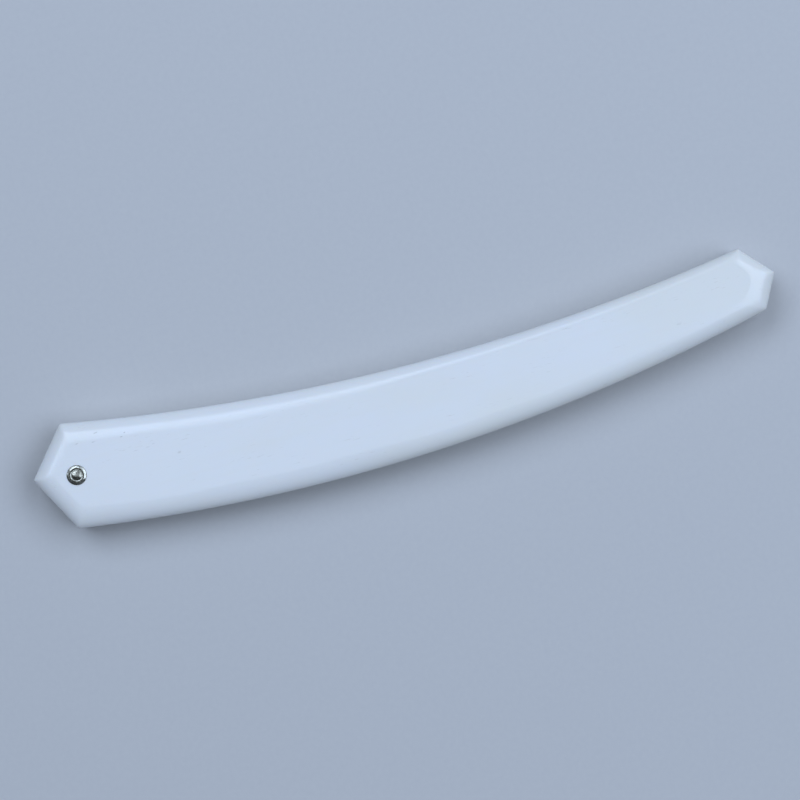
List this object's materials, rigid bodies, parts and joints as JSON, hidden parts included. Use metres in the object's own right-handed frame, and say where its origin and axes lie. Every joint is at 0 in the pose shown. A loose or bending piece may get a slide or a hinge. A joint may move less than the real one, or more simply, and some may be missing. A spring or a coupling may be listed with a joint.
{
  "type": "razor handle",
  "caption": "Curved handle of a folding razor with pointed ends: flat bone scales on an end spacer and a collared rivet, open at the narrow end for the razor's tang.",
  "frame": {"origin": "bottom centre of the whole handle's box, on the surface it lies on", "axes": "+X from the wide, riveted end to the narrow, open end, along the line between the tips; +Y to the hollow edge; +Z to the front scale, along the rivet"},
  "size_m": [0.1518, 0.0256, 0.0107],
  "materials": {
    "polished_bone": "hand-polished bone",
    "spacer_bone": "sawn and filed bone",
    "nickel_silver": "worn nickel silver",
    "rivet_metal": "hammered nickel silver"
  },
  "bodies": {
    "rear_half": {"rear_scale": "polished_bone", "end_spacer": "spacer_bone", "front_collar": "nickel_silver", "rear_collar": "nickel_silver", "rivet": "rivet_metal"},
    "front_half": {"front_scale": "polished_bone"}
  },
  "joints": [
    {"name": "scale_swing", "type": "hinge", "parent": "rear_half", "child": "front_half", "pos_m": [-0.06718, 0.00209, 0.00891], "axis": [0, 0, 1], "continuous": true}
  ]
}
